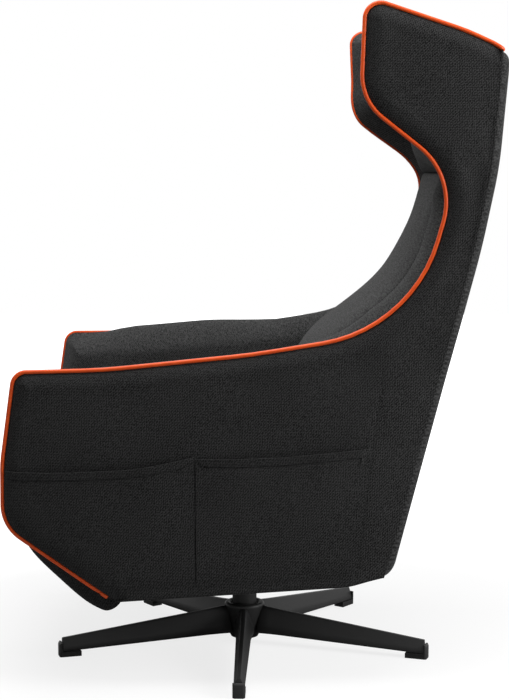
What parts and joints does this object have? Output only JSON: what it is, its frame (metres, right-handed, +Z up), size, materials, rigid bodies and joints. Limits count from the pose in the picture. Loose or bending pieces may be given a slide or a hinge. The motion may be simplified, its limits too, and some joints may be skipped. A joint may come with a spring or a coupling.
{
  "type": "swivel lounge armchair",
  "caption": "Winged high-back lounge armchair in charcoal twill with orange piping and side pockets, on a black star base with a swivel and a fold-out footrest.",
  "frame": {"origin": "on the floor under the middle of the whole chair; the swivel axis stands 16.9 mm in front of it", "axes": "+Z up, the chair faces -Y, the sitter's left arm is on +X"},
  "size_m": [0.7162, 0.8498, 1.1483],
  "materials": {
    "charcoal_twill": "fine charcoal twill, matt",
    "grey_twill": "fine grey twill, matt",
    "orange_piping": "smooth orange piping cord",
    "black_steel": "satin black powder coat",
    "zinc_steel": "zinc-plated steel",
    "black_nylon": "moulded black nylon",
    "beech": "planed beech",
    "plywood": "raw birch plywood",
    "dust_cloth": "black non-woven dust cloth"
  },
  "bodies": {
    "base": {"base_hub": "black_steel", "base_leg_1": "black_steel", "base_leg_2": "black_steel", "base_leg_3": "black_steel", "base_leg_4": "black_steel", "base_leg_5": "black_steel", "foot_cap_1": "black_nylon", "foot_cap_2": "black_nylon", "foot_cap_3": "black_nylon", "foot_cap_4": "black_nylon", "foot_cap_5": "black_nylon", "column_tube": "black_steel", "column_bush": "black_nylon", "thrust_washer": "zinc_steel"},
    "chair": {"swivel_spindle": "black_steel", "retaining_clip": "zinc_steel", "swivel_plate": "black_steel", "plate_bolt_1": "zinc_steel", "plate_bolt_2": "zinc_steel", "plate_bolt_3": "zinc_steel", "plate_bolt_4": "zinc_steel", "mount_board": "plywood", "dust_cover": "dust_cloth", "front_rail": "beech", "rear_rail": "beech", "front_beam": "beech", "rear_beam": "beech", "back_mid_rail": "beech", "back_head_rail": "beech", "back_top_rail": "beech", "left_side_board": "plywood", "right_side_board": "plywood", "left_outer_pad": "charcoal_twill", "right_outer_pad": "charcoal_twill", "left_inner_pad": "grey_twill", "right_inner_pad": "grey_twill", "left_piping": "orange_piping", "right_piping": "orange_piping", "top_piping": "orange_piping", "left_front_pocket": "charcoal_twill", "left_rear_pocket": "charcoal_twill", "right_front_pocket": "charcoal_twill", "right_rear_pocket": "charcoal_twill", "back_outer_pad": "charcoal_twill", "top_pad": "grey_twill", "seat_spring_1": "zinc_steel", "seat_spring_2": "zinc_steel", "seat_spring_3": "zinc_steel", "seat_spring_4": "zinc_steel", "seat_cushion": "grey_twill", "back_cushion": "grey_twill", "headrest_cushion": "grey_twill", "footrest_rod": "zinc_steel", "footrest_bracket_left": "black_steel", "footrest_bracket_right": "black_steel"},
    "footrest": {"footrest_pad": "charcoal_twill", "footrest_board": "plywood", "footrest_bush_left": "black_nylon", "footrest_bush_right": "black_nylon"}
  },
  "joints": [
    {"name": "swivel", "type": "hinge", "parent": "base", "child": "chair", "pos_m": [0, -0.01691, 0.15], "axis": [0, 0, 1], "continuous": true},
    {"name": "footrest_hinge", "type": "hinge", "parent": "chair", "child": "footrest", "pos_m": [0, -0.37992, 0.2625], "axis": [-1, 0, 0], "range_deg": [0, 130]}
  ]
}
